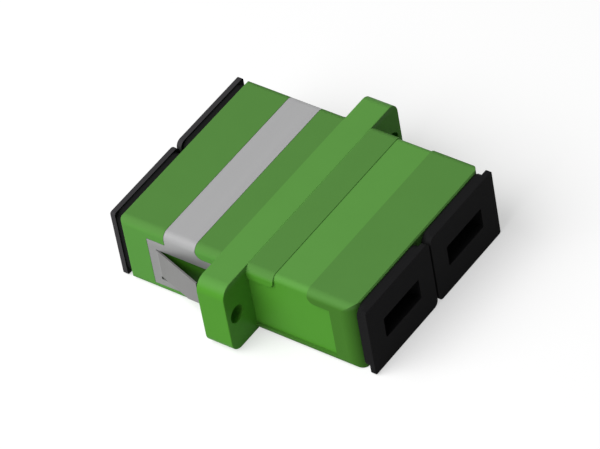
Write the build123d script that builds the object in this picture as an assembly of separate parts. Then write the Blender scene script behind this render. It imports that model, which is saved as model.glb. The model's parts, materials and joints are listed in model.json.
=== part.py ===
import os

from build123d import *

# Duplex push-pull fibre adapter with a panel clip and dust caps, in millimetres.
# X runs along the fibres, Y across the two channels, Z up.
# The origin is the centre of the flange face that lies against the panel.
# The clip half reaches towards -X, the plain half towards +X.

# Body
body_width = 26.0
body_height = 10.0
body_corner = 1.0
clip_half_length = 14.0
plain_half_length = 14.8
clip_half_end_corner = 0.3
plain_half_end_corner = 1.8
edge_break = 0.15

# Raised pads, the strap channel between them and the recess on each side
clip_half_inner_pad = 3.4
clip_half_channel = 4.5
clip_seat_land = 0.3
plain_half_inner_pad = 3.7
plain_half_channel = 4.7
plain_half_top_relief = 0.08
collar_length = 3.5
pad_wrap = 1.75
pad_corner = 0.9
ledge_height = 1.15

# Flange
flange_width = 35.0
flange_thickness = 3.7
flange_corner = 1.6
flange_edge_break = 0.1
screw_hole_diameter = 2.3
screw_hole_from_end = 1.8

# Channels and ports
channel_pitch = 12.7
port_width = 9.1
port_height = 7.5
port_corner = 0.4
port_lead_in = 0.2
key_slot_width = 2.6
key_slot_length = 5.2

# Pocket that the sleeve holders are clamped in, and the pins that align the halves
holder_pocket_depth = 3.0
holder_pocket_width = 10.6
holder_pocket_height = 8.3
holder_pocket_corner = 0.5
holder_clearance = 0.05
align_pin_diameter = 1.0
align_pin_length = 1.4
align_pin_height = 2.8
align_pin_clearance = 0.05

# Split sleeves
sleeve_length = 11.4
sleeve_outer_diameter = 3.2
ferrule_bore_diameter = 2.49
sleeve_slit = 0.4
sleeve_float = 0.1

# Sleeve holders with their latch arms
barrel_wall = 0.7
barrel_lip = 0.4
ferrule_entry_diameter = 2.7
arm_thickness = 0.75
arm_height = 3.2
arm_reach = 8.2
arm_port_gap = 0.45
hook_depth = 0.45
hook_length = 1.1

# Panel clip, one folded sheet
sheet_thickness = 0.2
seat_clearance = 0.05
tab_hinge_from_panel = 9.35
tab_end_from_panel = 2.05
tab_angle = 17.5
tab_bend_radius = 0.4
tab_top = 1.8
tab_bottom = -2.35
tab_corner_length = 2.3
tab_corner_height = 0.95
upper_slit = 0.15
lower_slit = 0.5

# Dust caps
cap_plug_length = 5.0
cap_plug_clearance = 0.1
cap_plug_corner = 0.6
cap_plug_lead_in = 0.4
cap_seat_gap = 0.05
cap_collar_thickness = 0.85
cap_collar_corner = 1.3
cap_collar_inset = 0.2
cap_plate_thickness = 0.65
cap_plate_height = 9.8
cap_plate_gap = 0.3
cap_plate_overhang = 6.4
cap_plate_outer_corner = 0.3
cap_plate_inner_corner = 0.8
cap_pocket_width = 7.0
cap_pocket_height = 2.9
cap_pocket_corner = 0.2
cap_pocket_floor = 0.8

# Sizes that follow from the ones above
screw_hole_pitch = flange_width - 2 * screw_hole_from_end
seat_depth = sheet_thickness + seat_clearance
top = body_height / 2
pad_bottom = top - pad_wrap
ledge_top = ledge_height - top
mid_plane = flange_thickness - holder_pocket_depth / 2
channel_y = {"a": -channel_pitch / 2, "b": channel_pitch / 2}
far_away = flange_width


def bar(start, end, width, height, corner, y=0, z=0):
    """A rounded rectangular bar along X."""
    plane = Plane(origin=(start, 0, 0), x_dir=(0, 1, 0), z_dir=(1, 0, 0))
    return extrude(plane * Pos(y, z) * RectangleRounded(width, height, corner), end - start)


def block(x, y, z):
    """A square-edged block between the two limits given for each axis."""
    size = [high - low for low, high in (x, y, z)]
    centre = [(high + low) / 2 for low, high in (x, y, z)]
    return Pos(*centre) * Box(*size)


def rod(start, end, diameter, y=0, z=0):
    """A round rod along X."""
    plane = Plane(origin=(start, y, z), x_dir=(0, 1, 0), z_dir=(1, 0, 0))
    return extrude(plane * Circle(diameter / 2), end - start)


def side_panel(x, z, rounded=(), radius=0):
    """A rectangle seen from the side, or with Y for Z from above, with the named corners rounded."""
    width = x[1] - x[0]
    height = z[1] - z[0]
    shape = Pos((x[0] + x[1]) / 2, (z[0] + z[1]) / 2) * Rectangle(width, height)
    chosen = [v for v in shape.vertices() if (v.X > x[0] + width / 2, v.Y > z[0] + height / 2) in rounded]
    return fillet(chosen, radius) if chosen else shape


def across(profile):
    """A side-view profile carried right across the width."""
    return extrude(Plane.XZ * profile, far_away, both=True)


def half_turn(shape):
    """The same part on the clip half, turned half a turn about Z."""
    return Rot(0, 0, 180) * shape


def end_shape(length, end_corner):
    """What the far end of a half fills: its corners rounded seen from above and bevelled from the side."""
    plan = side_panel((0, length), (-body_width / 2, body_width / 2), [(True, False), (True, True)], end_corner)
    side = side_panel((0, length), (-top, top))
    side = chamfer(side.vertices().sort_by(Axis.X)[-2:], edge_break)
    return extrude(plan, top, both=True) & across(side)


def half_body(length, end_corner, inner_pad, channel, top_relief, land, rounded_end_pad):
    """One moulded half without its ports, from its root at X = 0 to its end at X = length."""
    core = bar(0, length, body_width - 2 * seat_depth, body_height - top_relief,
               body_corner - seat_depth, z=-top_relief / 2)
    full = bar(0, length, body_width, body_height, body_corner)
    raised = side_panel((0, length), (-top, ledge_top))
    raised += side_panel((length - collar_length, length), (-top, top))
    if land:
        raised += side_panel((0, land), (-top, top))
    raised += side_panel((0, inner_pad), (pad_bottom, top), [(True, False)], pad_corner)
    end_pad_corners = [(False, False)] if rounded_end_pad else []
    raised += side_panel((inner_pad + channel, length), (pad_bottom, top), end_pad_corners, pad_corner)
    return (core + (full & across(raised))) & end_shape(length, end_corner)


def port_cuts(length):
    """The two ports, their lead-ins and the key slots under them."""
    cuts = []
    for y in channel_y.values():
        mouth = Plane(origin=(length, y, 0), x_dir=(0, -1, 0), z_dir=(-1, 0, 0))
        flare = RectangleRounded(port_width + 2 * port_lead_in, port_height + 2 * port_lead_in,
                                 port_corner + port_lead_in)
        cuts.append(bar(0, length, port_width, port_height, port_corner, y))
        cuts.append(extrude(mouth * flare, port_lead_in, taper=45))
        cuts.append(block((length - key_slot_length, length), (y - key_slot_width / 2, y + key_slot_width / 2),
                          (-top, -port_height / 2 + port_corner)))
    return cuts


def align_pins(start, end, diameter):
    """The two moulded pins on the centre wall, or the sockets for them."""
    return [rod(start, end, diameter, z=side * align_pin_height) for side in (-1, 1)]


def housing_flange_half():
    """The half with the flange, the holder pocket and the seat of the clip."""
    body = half_turn(half_body(clip_half_length, clip_half_end_corner, clip_half_inner_pad,
                               clip_half_channel, seat_depth, clip_seat_land, False))
    flange = bar(0, flange_thickness, flange_width, body_height, flange_corner)
    body += fillet(flange.faces().sort_by(Axis.X)[-1].edges(), flange_edge_break)
    body -= [half_turn(cut) for cut in port_cuts(clip_half_length)]
    pocket_start = flange_thickness - holder_pocket_depth
    for y in channel_y.values():
        body -= bar(0, pocket_start, port_width, port_height, port_corner, y)
        body -= bar(pocket_start, flange_thickness, holder_pocket_width, holder_pocket_height,
                    holder_pocket_corner, y)
    for side in (-1, 1):
        body -= rod(0, flange_thickness, screw_hole_diameter, side * screw_hole_pitch / 2)
    socket = align_pin_length + align_pin_clearance
    body -= align_pins(flange_thickness - socket, flange_thickness, align_pin_diameter + 2 * align_pin_clearance)
    return body


def housing_plain_half():
    """The half that closes the holder pocket and lies against the back of the flange."""
    body = half_body(plain_half_length, plain_half_end_corner, plain_half_inner_pad,
                     plain_half_channel, plain_half_top_relief, 0, True)
    body -= port_cuts(plain_half_length)
    body += align_pins(-align_pin_length, 0, align_pin_diameter)
    return Pos(flange_thickness, 0, 0) * body


def split_sleeve(y):
    """The slit ceramic tube that lines up the two ferrules of one channel."""
    half = sleeve_length / 2
    tube = rod(-half, half, sleeve_outer_diameter) - rod(-half, half, ferrule_bore_diameter)
    tube -= block((-half, half), (-sleeve_slit / 2, sleeve_slit / 2), (0, sleeve_outer_diameter))
    return Pos(mid_plane, y, 0) * tube


def sleeve_holder():
    """One clamped plate with the barrel of the sleeve and two latch arms, facing +X from X = 0."""
    plate = holder_pocket_depth / 2 - holder_clearance
    cavity = sleeve_outer_diameter + 2 * sleeve_float
    cavity_end = sleeve_length / 2 + holder_clearance
    holder = bar(0, plate, holder_pocket_width - 2 * holder_clearance,
                 holder_pocket_height - 2 * holder_clearance, holder_pocket_corner)
    holder += rod(0, cavity_end + barrel_lip, cavity + 2 * barrel_wall)
    outer = port_width / 2 - arm_port_gap
    inner = outer - arm_thickness
    tip = inner - hook_depth
    ramp = arm_reach - hook_length
    arm = make_face(Polyline((0, outer), (arm_reach, outer), (arm_reach, inner), (ramp + hook_length / 2, tip),
                             (ramp, tip), (ramp, inner), (0, inner), close=True))
    arm = extrude(arm, arm_height / 2, both=True)
    holder += [arm, mirror(arm, Plane.XZ)]
    holder -= rod(0, cavity_end, cavity)
    holder -= rod(cavity_end, cavity_end + barrel_lip, ferrule_entry_diameter)
    return holder


def clip_outline():
    """The clip seen from the side: the strap on top and the wide plate below it."""
    strap_end = -clip_half_inner_pad - seat_clearance
    strap_start = -clip_half_inner_pad - clip_half_channel + seat_clearance
    plate_start = -clip_half_length + collar_length + seat_clearance
    plate = (ledge_top + seat_clearance, pad_bottom - seat_clearance)
    shape = side_panel((plate_start, -clip_seat_land - seat_clearance), plate)
    shape += side_panel((strap_start, strap_end), (0, top))
    inner_corner = shape.vertices().sort_by_distance((strap_end, plate[1], 0))[0]
    return fillet(inner_corner, pad_corner + seat_clearance)


def spring_tab():
    """The tab of one side plate, sprung outwards from its hinge line, on the +Y side."""
    centre = body_width / 2 - sheet_thickness / 2
    hinge = (-tab_hinge_from_panel, centre)
    overlap = Line((hinge[0] - sheet_thickness, centre), hinge)
    bend = JernArc(hinge, (1, 0), tab_bend_radius, tab_angle)
    reach = -tab_end_from_panel - (bend @ 1).X
    blade = Line(bend @ 1, bend @ 1 + (bend % 1) * (reach / (bend % 1).X))
    strip = extrude(trace(Curve() + [overlap, bend, blade], sheet_thickness), tab_top - tab_bottom)
    corner = make_face(Polyline((-tab_end_from_panel, tab_bottom),
                                (-tab_end_from_panel, tab_bottom + tab_corner_height),
                                (-tab_end_from_panel - tab_corner_length, tab_bottom), close=True))
    return Pos(0, 0, tab_bottom) * strip - across(corner)


def panel_clip():
    """The folded sheet: a strap over the top, two side plates, and a sprung tab cut from each."""
    start = -clip_half_length
    shell = bar(start, 0, body_width, body_height, body_corner)
    shell -= bar(start, 0, body_width - 2 * sheet_thickness, body_height - 2 * sheet_thickness,
                 body_corner - sheet_thickness)
    clip = shell & across(clip_outline())
    clip -= block((-tab_hinge_from_panel, 0), (-body_width, body_width),
                  (tab_bottom - lower_slit, tab_top + upper_slit))
    return clip + [spring_tab(), mirror(spring_tab(), Plane.XZ)]


def dust_cap():
    """One cap seated on an end face at X = 0, with its outer side towards +Y."""
    inner = channel_pitch / 2 - cap_plate_gap / 2
    outer = cap_plate_overhang
    front = cap_collar_thickness + cap_plate_thickness
    plug_width = port_width - 2 * cap_plug_clearance
    plug_height = port_height - 2 * cap_plug_clearance
    plug = bar(-cap_plug_length, cap_collar_thickness, plug_width, plug_height, cap_plug_corner)
    plug = chamfer(plug.faces().sort_by(Axis.X)[0].edges(), cap_plug_lead_in)
    collar = bar(cap_seat_gap, cap_collar_thickness, inner + outer - 2 * cap_collar_inset,
                 cap_plate_height - 2 * cap_collar_inset, cap_collar_corner, y=(outer - inner) / 2)
    plate = bar(cap_collar_thickness, front, inner + outer, cap_plate_height, cap_plate_outer_corner,
                y=(outer - inner) / 2)
    rounding = bar(cap_collar_thickness, front, 2 * inner, cap_plate_height, cap_plate_inner_corner)
    half = block((cap_collar_thickness, front), (0, outer), (-top, top))
    plate = (plate & half) + (rounding - half)
    cap = plug + collar + plate
    return cap - bar(cap_pocket_floor - cap_plug_length, front, cap_pocket_width, cap_pocket_height,
                     cap_pocket_corner)


def dust_caps():
    """The four caps, all the same moulding, turned to face out of their ports."""
    caps = {}
    for name, y in channel_y.items():
        outward = y > 0
        at_plain_end = dust_cap() if outward else Rot(180, 0, 0) * dust_cap()
        at_clip_end = Rot(180, 0, 0) * dust_cap() if outward else dust_cap()
        caps[f"dust_cap_{name}_plain_end"] = Pos(flange_thickness + plain_half_length, y, 0) * at_plain_end
        caps[f"dust_cap_{name}_clip_end"] = Pos(-clip_half_length, y, 0) * half_turn(at_clip_end)
    return caps


def all_parts():
    parts = {
        "housing_flange_half": housing_flange_half(),
        "housing_plain_half": housing_plain_half(),
        "panel_clip": panel_clip(),
    }
    for name, y in channel_y.items():
        parts[f"sleeve_holder_{name}_plain_side"] = Pos(mid_plane, y, 0) * sleeve_holder()
        parts[f"sleeve_holder_{name}_clip_side"] = Pos(mid_plane, y, 0) * half_turn(sleeve_holder())
        parts[f"split_sleeve_{name}"] = split_sleeve(y)
    parts.update(dust_caps())
    return parts


os.makedirs("parts", exist_ok=True)
for node, shape in all_parts().items():
    export_step(shape, f"parts/{node}.step")
    print(node, round(shape.volume, 2))
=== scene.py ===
import json
import math

import bmesh
import bpy
from mathutils import Matrix, Vector


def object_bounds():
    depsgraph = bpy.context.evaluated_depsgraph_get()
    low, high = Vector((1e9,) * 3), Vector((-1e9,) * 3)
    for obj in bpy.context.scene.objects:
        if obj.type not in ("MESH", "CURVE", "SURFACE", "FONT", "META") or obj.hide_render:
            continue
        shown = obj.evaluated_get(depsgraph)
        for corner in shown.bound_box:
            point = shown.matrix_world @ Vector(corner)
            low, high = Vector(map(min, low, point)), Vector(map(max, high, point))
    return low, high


MM = 0.001
WHITE = (1.0, 1.0, 1.0, 1.0)

# Camera, from the straight edges of the adapter in the photograph
CAMERA_AZIMUTH = math.radians(42.483)
CAMERA_ELEVATION = math.radians(43.445)
CAMERA_ROLL = math.radians(-10.868)
CAMERA_PLACE = Vector((277.545, -301.649, 386.652)) * MM
LENS_WIDTHS = 4926.1 / 600
SENSOR_WIDTH = 36.0
NEAREST_SEEN = 0.01
FARTHEST_SEEN = 20.0

# The raised parts of the green halves are grained, and the rest is smooth. A raised surface lies
# 1.0 mm out from a core of 24 by 8 mm, and the rest at most 0.92 mm.
CORE_SIDE = 12.0 * MM
CORE_TOP = 4.0 * MM
GRAINED_FROM = 0.96 * MM

# Places on the green halves. Along x: where the collars at both ends start, the end faces, the
# flange, which starts at 0, and the pads of the plain half. Across and in height: just outside the
# mouths of the ports. In height: the rounded top edge of the sides, the middle, above which the
# end pad wraps round, and the ledges under the plain half's sides.
COLLARS = (-10.5 * MM, 15.0 * MM)
END_FACES = (-14.0 * MM, 18.5 * MM)
FLANGE_THICKNESS = 3.7 * MM
INNER_PAD_TO = 7.5 * MM
END_PAD_FROM = 12.0 * MM
OUTSIDE_PORTS = (11.15 * MM, 3.98 * MM)
SIDE_FADES = (4.0 * MM, 4.8 * MM)
MID_HEIGHT = 0.0
LEDGE_TOP = -3.8 * MM
MASK_EDGE = 0.05 * MM

# Greens, in linear colour. The seat shows behind the tabs of the clip; its green is painted shadow.
# The darker green is painted shade on the sides of the end pad, the collar and the ledges of the
# plain half.
GRAINED_GREEN = (0.093, 0.248, 0.053)
# Painted light: the grained sides of the clip half are a lighter green than those of the plain
# half.
CLIP_HALF_SIDE_PAINTED_LIGHT_GREEN = (0.095, 0.290, 0.052)
# Painted sheen: the smooth tops are a paler green than the smooth sides, which are left more
# saturated.
SMOOTH_TOP_PAINTED_SHEEN_GREEN = (0.109, 0.308, 0.060)
SMOOTH_SIDE_GREEN = (0.079, 0.292, 0.028)
PAINTED_SHADE_GREEN = (0.057, 0.183, 0.023)
SEAT_PAINTED_SHADOW_GREEN = (0.028, 0.110, 0.008)
GREEN_SPREAD = 0.03
GREEN_GLOSS = 0.03
GREEN_ROUGHNESS = 0.36
GRAINED_EXTRA_ROUGHNESS = 0.22
SMOOTH_BUMP = 0.05
GRAINED_EXTRA_BUMP = 0.30

# The folded clip: bright on the strap, with painted shade making it duller down the side plates and
# on the tabs, which stand out past the plates. Its rolled lines run along the strap.
STRAP_STEEL = (0.400, 0.400, 0.404)
PLATE_PAINTED_SHADE_STEEL = (0.272, 0.271, 0.272)
PLATE_FADES = (2.0 * MM, 4.9 * MM)
TAB_PAINTED_SHADE_STEEL = (0.198, 0.193, 0.194)
TAB_FROM = 13.05 * MM
STEEL_SPREAD = 0.05
STEEL_METALLIC = 0.45
STEEL_ROUGHNESS = 0.36
LINE_ROUGHNESS = 0.16
LINE_STRETCH = (1.0, 0.04, 0.04)
LINE_DEPTH = 0.01 * MM
LINE_BUMP = 0.15

# The caps. The plates of those at the clip end have a painted highlight that greys their rims:
# there the surface faces away from x, and lies further from the middle of the cap than the walls of
# its pocket.
CAP_BLACK = (0.012, 0.012, 0.0125)
RIM_PAINTED_HIGHLIGHT_GREY = (0.047, 0.045, 0.048)
CLIP_END_PLATES = -14.83 * MM
CAP_MIDDLE = 6.35 * MM
PAST_POCKET = (5.0 * MM, 3.5 * MM)
RIM_FACING = 0.5

# Inner pieces
HOLDER_IVORY = (0.72, 0.70, 0.62)
ZIRCONIA_WHITE = (0.82, 0.81, 0.78)

# Grain: the noise's detail and scale, the height of the bumps and how far they tell
FINE_DETAIL = 3.0
FINE_ROUGHNESS = 0.6
MOTTLE_DETAIL = 4.0
MOULD_GRAIN = 9000.0
GROUND_GRAIN = 20000.0
SHEET_LINES = 14000.0
GREEN_MOTTLE = 250.0
SHEET_MOTTLE = 500.0
PLAIN_MOTTLE = 300.0
MOULD_DEPTH = 0.02 * MM
FINE_DEPTH = 0.01 * MM
GROUND_DEPTH = 0.004 * MM
PLAIN_BUMP = 0.25
PLAIN_ROUGHNESS_SPREAD = 0.06

# Light and floor, in metres and watts
AMBIENT = 0.12
KEY_PLACE = Vector((-0.22, -0.49, 0.58))
KEY_POWER = 9.4
KEY_SIZE = 0.8
FLOOR_WHITE = (0.52, 0.52, 0.52, 1.0)
FLOOR_LIFT = 0.52
FLOOR_ROUGHNESS = 0.9
FLOOR_HALF = 3.0
FLOOR_GAP = 0.02 * MM


def make_camera():
    """The photograph's camera: its place, its turn by azimuth, elevation and roll, and its lens."""
    forward = Vector((-math.sin(CAMERA_AZIMUTH) * math.cos(CAMERA_ELEVATION),
                      math.cos(CAMERA_AZIMUTH) * math.cos(CAMERA_ELEVATION),
                      -math.sin(CAMERA_ELEVATION)))
    level = Vector((math.cos(CAMERA_AZIMUTH), math.sin(CAMERA_AZIMUTH), 0.0))
    over = level.cross(forward)
    right = level * math.cos(CAMERA_ROLL) + over * math.sin(CAMERA_ROLL)
    up = over * math.cos(CAMERA_ROLL) - level * math.sin(CAMERA_ROLL)
    turn = Matrix((right, up, -forward)).transposed().to_4x4()
    data = bpy.data.cameras.new("camera")
    data.sensor_width = SENSOR_WIDTH
    data.lens = LENS_WIDTHS * SENSOR_WIDTH
    data.clip_start = NEAREST_SEEN
    data.clip_end = FARTHEST_SEEN
    camera = bpy.data.objects.new("camera", data)
    camera.matrix_world = Matrix.Translation(CAMERA_PLACE) @ turn
    bpy.context.collection.objects.link(camera)
    bpy.context.scene.camera = camera


def new_group(name, inputs, outputs):
    """A shader node group, and its input and output nodes."""
    group = bpy.data.node_groups.new(name, "ShaderNodeTree")
    for label, kind, value in inputs:
        socket = group.interface.new_socket(label, in_out="INPUT", socket_type=kind)
        socket.default_value = value
    for label, kind in outputs:
        group.interface.new_socket(label, in_out="OUTPUT", socket_type=kind)
    return group, group.nodes.new("NodeGroupInput"), group.nodes.new("NodeGroupOutput")


def new_material(name):
    """A material, its node tree and its shader."""
    material = bpy.data.materials.new(name)
    material.use_nodes = True
    tree = material.node_tree
    return material, tree, tree.nodes["Principled BSDF"]


def feed(tree, slot, value):
    """Links a socket to a slot, or sets the slot to a number or colour."""
    if isinstance(value, bpy.types.NodeSocket):
        tree.links.new(value, slot)
    else:
        slot.default_value = value


def math_node(tree, operation, first, second=None, third=None):
    """A Math node whose inputs are sockets or numbers; returns its output."""
    node = tree.nodes.new("ShaderNodeMath")
    node.operation = operation
    for slot, value in zip(node.inputs, (first, second, third)):
        if value is not None:
            feed(tree, slot, value)
    return node.outputs[0]


def mix_colour(tree, factor, first, second):
    """The first colour where the factor is zero, and the second where it is one."""
    node = tree.nodes.new("ShaderNodeMix")
    node.data_type = "RGBA"
    tree.links.new(factor, node.inputs["Factor"])
    for slot, value in ((node.inputs[6], first), (node.inputs[7], second)):
        feed(tree, slot, value if isinstance(value, bpy.types.NodeSocket) else (*value, 1.0))
    return node.outputs[2]


def vary(tree, colour, mottle, spread):
    """Scales a colour up and down by a mottled share."""
    amount = math_node(tree, "MULTIPLY_ADD", mottle, 2 * spread, 1.0 - spread)
    node = tree.nodes.new("ShaderNodeVectorMath")
    node.operation = "SCALE"
    feed(tree, node.inputs[0], colour)
    tree.links.new(amount, node.inputs["Scale"])
    return node.outputs[0]


def bump(tree, height, distance, strength):
    """The normal of a surface with the given height."""
    node = tree.nodes.new("ShaderNodeBump")
    node.inputs["Distance"].default_value = distance
    tree.links.new(height, node.inputs["Height"])
    feed(tree, node.inputs["Strength"], strength)
    return node.outputs["Normal"]


def object_position(tree):
    """The place of the surface in the part's own frame, and its x, y and z."""
    place = tree.nodes.new("ShaderNodeTexCoord")
    split = tree.nodes.new("ShaderNodeSeparateXYZ")
    tree.links.new(place.outputs["Object"], split.inputs[0])
    return place.outputs["Object"], split.outputs


def facing_along_x(tree):
    """How squarely the surface faces along x, from 0 to 1."""
    place = tree.nodes.new("ShaderNodeTexCoord")
    split = tree.nodes.new("ShaderNodeSeparateXYZ")
    tree.links.new(place.outputs["Normal"], split.inputs[0])
    return math_node(tree, "ABSOLUTE", split.outputs["X"])


def past(tree, coordinate, limit):
    """How far a coordinate lies beyond a limit on either side, or zero."""
    over = math_node(tree, "SUBTRACT", math_node(tree, "ABSOLUTE", coordinate), limit)
    return math_node(tree, "MAXIMUM", over, 0.0)


def either(tree, first, second):
    """One where either mask is one."""
    return math_node(tree, "MAXIMUM", first, second)


def both(tree, first, second):
    """One where both masks are one."""
    return math_node(tree, "MULTIPLY", first, second)


def below(tree, coordinate, limit):
    """One below the limit."""
    return math_node(tree, "LESS_THAN", coordinate, limit)


def above(tree, coordinate, limit):
    """One above the limit."""
    return math_node(tree, "GREATER_THAN", coordinate, limit)


def outside(tree, coordinate, low, high):
    """One below the low limit or above the high one."""
    return either(tree, below(tree, coordinate, low), above(tree, coordinate, high))


def fade_out(tree, coordinate, limits):
    """One before the first limit, falling to zero at the second."""
    node = tree.nodes.new("ShaderNodeMapRange")
    node.interpolation_type = "SMOOTHSTEP"
    for label, value in zip(("From Min", "From Max", "To Min", "To Max"), (*limits, 1.0, 0.0)):
        node.inputs[label].default_value = value
    tree.links.new(coordinate, node.inputs["Value"])
    return node.outputs["Result"]


def build_grain_group():
    """Fine moulded or rolled grain: a height for bump and a small shift of colour."""
    group, enter, leave = new_group(
        "grain",
        [("Vector", "NodeSocketVector", (0, 0, 0)), ("Size", "NodeSocketFloat", MOULD_GRAIN),
         ("Mottle Size", "NodeSocketFloat", PLAIN_MOTTLE)],
        [("Height", "NodeSocketFloat"), ("Mottle", "NodeSocketFloat")])
    fine = group.nodes.new("ShaderNodeTexNoise")
    fine.inputs["Detail"].default_value = FINE_DETAIL
    fine.inputs["Roughness"].default_value = FINE_ROUGHNESS
    broad = group.nodes.new("ShaderNodeTexNoise")
    broad.inputs["Detail"].default_value = MOTTLE_DETAIL
    for noise, scale, result in ((fine, "Size", "Height"), (broad, "Mottle Size", "Mottle")):
        group.links.new(enter.outputs["Vector"], noise.inputs["Vector"])
        group.links.new(enter.outputs[scale], noise.inputs["Scale"])
        group.links.new(noise.outputs["Fac"], leave.inputs[result])
    return group


def place_grain(tree, grain, vector, size, mottle_size):
    """The grain group in a material; returns its height and its mottle."""
    node = tree.nodes.new("ShaderNodeGroup")
    node.node_tree = grain
    tree.links.new(vector, node.inputs["Vector"])
    node.inputs["Size"].default_value = size
    node.inputs["Mottle Size"].default_value = mottle_size
    return node.outputs["Height"], node.outputs["Mottle"]


def raised_areas(tree, y, z):
    """One on the pads, which stand out from the rest of the housing."""
    out = past(tree, y, CORE_SIDE)
    up = past(tree, z, CORE_TOP)
    square = math_node(tree, "MULTIPLY_ADD", out, out, math_node(tree, "MULTIPLY", up, up))
    return above(tree, math_node(tree, "SQRT", square), GRAINED_FROM)


def grained_areas(tree, x, y, z, on_side, on_plain_half):
    """One on the raised pads, the collars and the end faces, without the side of the inner pad."""
    off_flange = outside(tree, x, -MASK_EDGE, FLANGE_THICKNESS + MASK_EDGE)
    on_pads = both(tree, raised_areas(tree, y, z), off_flange)
    around_ports = either(tree, outside(tree, y, -OUTSIDE_PORTS[0], OUTSIDE_PORTS[0]),
                          outside(tree, z, -OUTSIDE_PORTS[1], OUTSIDE_PORTS[1]))
    on_collar = both(tree, outside(tree, x, *COLLARS), around_ports)
    on_end = outside(tree, x, END_FACES[0] + MASK_EDGE, END_FACES[1] - MASK_EDGE)
    by_inner_pad = both(tree, on_plain_half, below(tree, x, INNER_PAD_TO))
    smooth_again = both(tree, by_inner_pad, on_side)
    return both(tree, either(tree, on_pads, either(tree, on_collar, on_end)),
                math_node(tree, "SUBTRACT", 1.0, smooth_again))


def painted_shade_areas(tree, x, z, grained, on_side, on_plain_half):
    """One where painted shade lies: on the sides of the end pad, the collar and the ledges of the
    plain half.
    """
    on_end_pad = both(tree, above(tree, x, END_PAD_FROM), above(tree, z, MID_HEIGHT))
    near_plain_end = either(tree, above(tree, x, COLLARS[1]), on_end_pad)
    on_ledge = both(tree, on_plain_half, below(tree, z, LEDGE_TOP))
    return both(tree, on_side, either(tree, both(tree, near_plain_end, grained), on_ledge))


def green_housing(grain):
    """Moulded green plastic, spark-grained on the raised pads and smooth elsewhere."""
    material, tree, shader = new_material("green_housing")
    place, (x, y, z) = object_position(tree)
    beside_ports = outside(tree, y, -OUTSIDE_PORTS[0], OUTSIDE_PORTS[0])
    on_side = both(tree, beside_ports, fade_out(tree, z, SIDE_FADES))
    on_clip_half = below(tree, x, -MASK_EDGE)
    on_plain_half = above(tree, x, FLANGE_THICKNESS + MASK_EDGE)
    grained = grained_areas(tree, x, y, z, on_side, on_plain_half)
    darker = painted_shade_areas(tree, x, z, grained, on_side, on_plain_half)

    # Painted shadow: the smooth sides of the clip half, the seat behind the tabs, take a deep
    # green.
    smooth_side_with_painted_seat_shadow = mix_colour(tree, on_clip_half, SMOOTH_SIDE_GREEN, SEAT_PAINTED_SHADOW_GREEN)
    # Painted sheen on the smooth tops against the smooth sides.
    smooth = mix_colour(tree, on_side, SMOOTH_TOP_PAINTED_SHEEN_GREEN, smooth_side_with_painted_seat_shadow)
    # Painted light on the grained sides of the clip half.
    rough = mix_colour(tree, both(tree, on_side, on_clip_half),
                       GRAINED_GREEN, CLIP_HALF_SIDE_PAINTED_LIGHT_GREEN)
    # Painted shade: the sides of the plain end and the ledges under the plain half take a dimmer
    # green.
    green = mix_colour(tree, darker, mix_colour(tree, grained, smooth, rough), PAINTED_SHADE_GREEN)

    height, mottle = place_grain(tree, grain, place, MOULD_GRAIN, GREEN_MOTTLE)
    roughness = math_node(tree, "MULTIPLY_ADD", grained, GRAINED_EXTRA_ROUGHNESS, GREEN_ROUGHNESS)
    strength = math_node(tree, "MULTIPLY_ADD", grained, GRAINED_EXTRA_BUMP, SMOOTH_BUMP)
    tree.links.new(vary(tree, green, mottle, GREEN_SPREAD), shader.inputs["Base Color"])
    tree.links.new(roughness, shader.inputs["Roughness"])
    tree.links.new(bump(tree, height, MOULD_DEPTH, strength), shader.inputs["Normal"])
    shader.inputs["Specular IOR Level"].default_value = GREEN_GLOSS
    return material


def rolled_sheet(grain):
    """Satin rolled steel, brightest on the strap, with painted shade dulling the side plates and
    tabs.
    """
    material, tree, shader = new_material("rolled_sheet")
    place, (_, y, z) = object_position(tree)
    # Painted shade: the steel turns darker down the side plates.
    folded = mix_colour(tree, fade_out(tree, z, PLATE_FADES), STRAP_STEEL, PLATE_PAINTED_SHADE_STEEL)
    # Painted shade on the tabs, which stand out past the plates.
    steel = mix_colour(tree, outside(tree, y, -TAB_FROM, TAB_FROM), folded, TAB_PAINTED_SHADE_STEEL)

    stretch = tree.nodes.new("ShaderNodeMapping")
    stretch.inputs["Scale"].default_value = LINE_STRETCH
    tree.links.new(place, stretch.inputs["Vector"])
    lines, mottle = place_grain(tree, grain, stretch.outputs[0], SHEET_LINES, SHEET_MOTTLE)
    roughness = math_node(tree, "MULTIPLY_ADD", lines, LINE_ROUGHNESS, STEEL_ROUGHNESS)
    tree.links.new(vary(tree, steel, mottle, STEEL_SPREAD), shader.inputs["Base Color"])
    tree.links.new(roughness, shader.inputs["Roughness"])
    tree.links.new(bump(tree, lines, LINE_DEPTH, LINE_BUMP), shader.inputs["Normal"])
    shader.inputs["Metallic"].default_value = STEEL_METALLIC
    return material


def plain_finish(name, grain, colour, roughness, size, depth, spread=0.04, gloss=0.5):
    """A moulded or ground surface of one colour, with its own grain."""
    material, tree, shader = new_material(name)
    place, _ = object_position(tree)
    height, mottle = place_grain(tree, grain, place, size, PLAIN_MOTTLE)
    mottled_roughness = math_node(tree, "MULTIPLY_ADD", mottle, 2 * PLAIN_ROUGHNESS_SPREAD,
                                  roughness - PLAIN_ROUGHNESS_SPREAD)
    tree.links.new(vary(tree, colour, mottle, spread), shader.inputs["Base Color"])
    tree.links.new(mottled_roughness, shader.inputs["Roughness"])
    tree.links.new(bump(tree, height, depth, PLAIN_BUMP), shader.inputs["Normal"])
    shader.inputs["Specular IOR Level"].default_value = gloss
    return material


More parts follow.
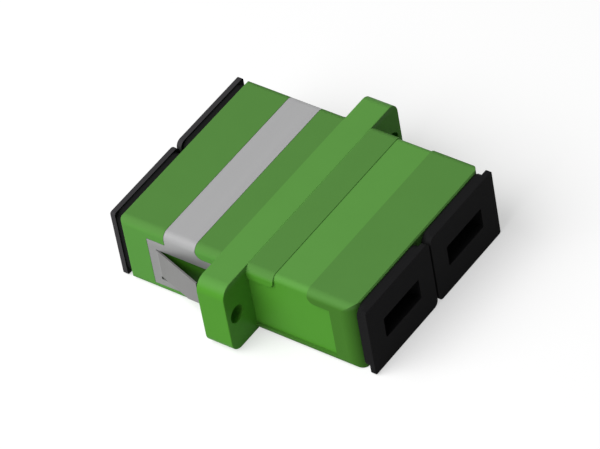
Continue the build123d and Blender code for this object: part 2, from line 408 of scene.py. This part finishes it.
def black_cap(grain):
    """Matt black plastic, with a painted highlight greying the rims of the plates at the clip end.
    """
    material = plain_finish("black_cap", grain, CAP_BLACK, roughness=0.5, size=MOULD_GRAIN,
                            depth=MOULD_DEPTH, spread=0.10, gloss=0.01)
    tree = material.node_tree
    base = tree.nodes["Principled BSDF"].inputs["Base Color"]
    black = base.links[0].from_socket
    _, (x, y, z) = object_position(tree)
    across = math_node(tree, "SUBTRACT", math_node(tree, "ABSOLUTE", y), CAP_MIDDLE)
    past_pocket = either(tree, outside(tree, across, -PAST_POCKET[0], PAST_POCKET[0]),
                         outside(tree, z, -PAST_POCKET[1], PAST_POCKET[1]))
    on_edge = both(tree, below(tree, facing_along_x(tree), RIM_FACING), past_pocket)
    on_rim = both(tree, on_edge, below(tree, x, CLIP_END_PLATES))
    # Painted highlight: the rims of the clip-end plates turn grey.
    tree.links.new(mix_colour(tree, on_rim, black, RIM_PAINTED_HIGHLIGHT_GREY), base)
    return material


def dress(frame):
    """Gives each node of the frame its finish, by the record's material slot."""
    grain = build_grain_group()
    finishes = {
        "housing_green": green_housing(grain),
        "clip_steel": rolled_sheet(grain),
        "cap_black": black_cap(grain),
        "holder_plastic": plain_finish("ivory_holder", grain, HOLDER_IVORY, roughness=0.42,
                                       size=MOULD_GRAIN, depth=FINE_DEPTH),
        "sleeve_ceramic": plain_finish("zirconia", grain, ZIRCONIA_WHITE, roughness=0.22,
                                       size=GROUND_GRAIN, depth=GROUND_DEPTH, spread=0.02),
    }
    for part in frame["record"]["subparts"]:
        for holder in frame["nodes"][part["node"]].material_slots:
            holder.material = finishes[part["material_slot"]]


def seen_directly(tree):
    """One for rays from the camera, off a glossy surface or through a clear one."""
    path = tree.nodes.new("ShaderNodeLightPath")
    mirrored = either(tree, path.outputs["Is Glossy Ray"], path.outputs["Is Transmission Ray"])
    return either(tree, path.outputs["Is Camera Ray"], mirrored)


def make_floor(level):
    """A pale floor that the camera sees as white, and that keeps the object's shadow."""
    form = bmesh.new()
    bmesh.ops.create_grid(form, x_segments=1, y_segments=1, size=FLOOR_HALF,
                          matrix=Matrix.Translation((0, 0, level)))
    mesh = bpy.data.meshes.new("floor")
    form.to_mesh(mesh)
    form.free()
    floor = bpy.data.objects.new("floor", mesh)
    bpy.context.collection.objects.link(floor)
    material, tree, shader = new_material("pale_floor")
    shader.inputs["Base Color"].default_value = FLOOR_WHITE
    shader.inputs["Roughness"].default_value = FLOOR_ROUGHNESS
    shader.inputs["Specular IOR Level"].default_value = 0.0
    shader.inputs["Emission Color"].default_value = WHITE
    lift = math_node(tree, "MULTIPLY", seen_directly(tree), FLOOR_LIFT)
    tree.links.new(lift, shader.inputs["Emission Strength"])
    mesh.materials.append(material)


def make_world():
    """A white studio, which lights the object only as much as the ambient share."""
    world = bpy.data.worlds.new("studio")
    world.use_nodes = True
    bpy.context.scene.world = world
    tree = world.node_tree
    background = tree.nodes["Background"]
    background.inputs["Color"].default_value = WHITE
    strength = math_node(tree, "MULTIPLY_ADD", seen_directly(tree), 1.0 - AMBIENT, AMBIENT)
    tree.links.new(strength, background.inputs["Strength"])


def make_light(name, place, power, size):
    """A soft square lamp that points at the middle of the object."""
    data = bpy.data.lights.new(name, "AREA")
    data.energy = power
    data.size = size
    lamp = bpy.data.objects.new(name, data)
    lamp.location = place
    lamp.rotation_euler = (-place).to_track_quat("-Z", "Y").to_euler()
    lamp.visible_glossy = False
    bpy.context.collection.objects.link(lamp)


def plain_numbers(bounds):
    """The two corners of a box as plain lists."""
    return [[float(value) for value in corner] for corner in bounds]


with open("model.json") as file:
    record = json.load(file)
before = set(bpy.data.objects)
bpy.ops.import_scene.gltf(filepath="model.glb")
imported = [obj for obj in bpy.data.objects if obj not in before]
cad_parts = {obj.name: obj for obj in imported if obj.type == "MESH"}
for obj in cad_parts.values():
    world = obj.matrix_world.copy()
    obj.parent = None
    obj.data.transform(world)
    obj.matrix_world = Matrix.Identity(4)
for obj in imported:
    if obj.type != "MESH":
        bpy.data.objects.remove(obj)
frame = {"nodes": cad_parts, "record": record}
cad_bounds = plain_numbers(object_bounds())
make_camera()
dress(frame)
make_floor(cad_bounds[0][2] - FLOOR_GAP)
make_world()
make_light("key", KEY_PLACE, KEY_POWER, KEY_SIZE)
bpy.context.scene.view_settings.view_transform = "Standard"
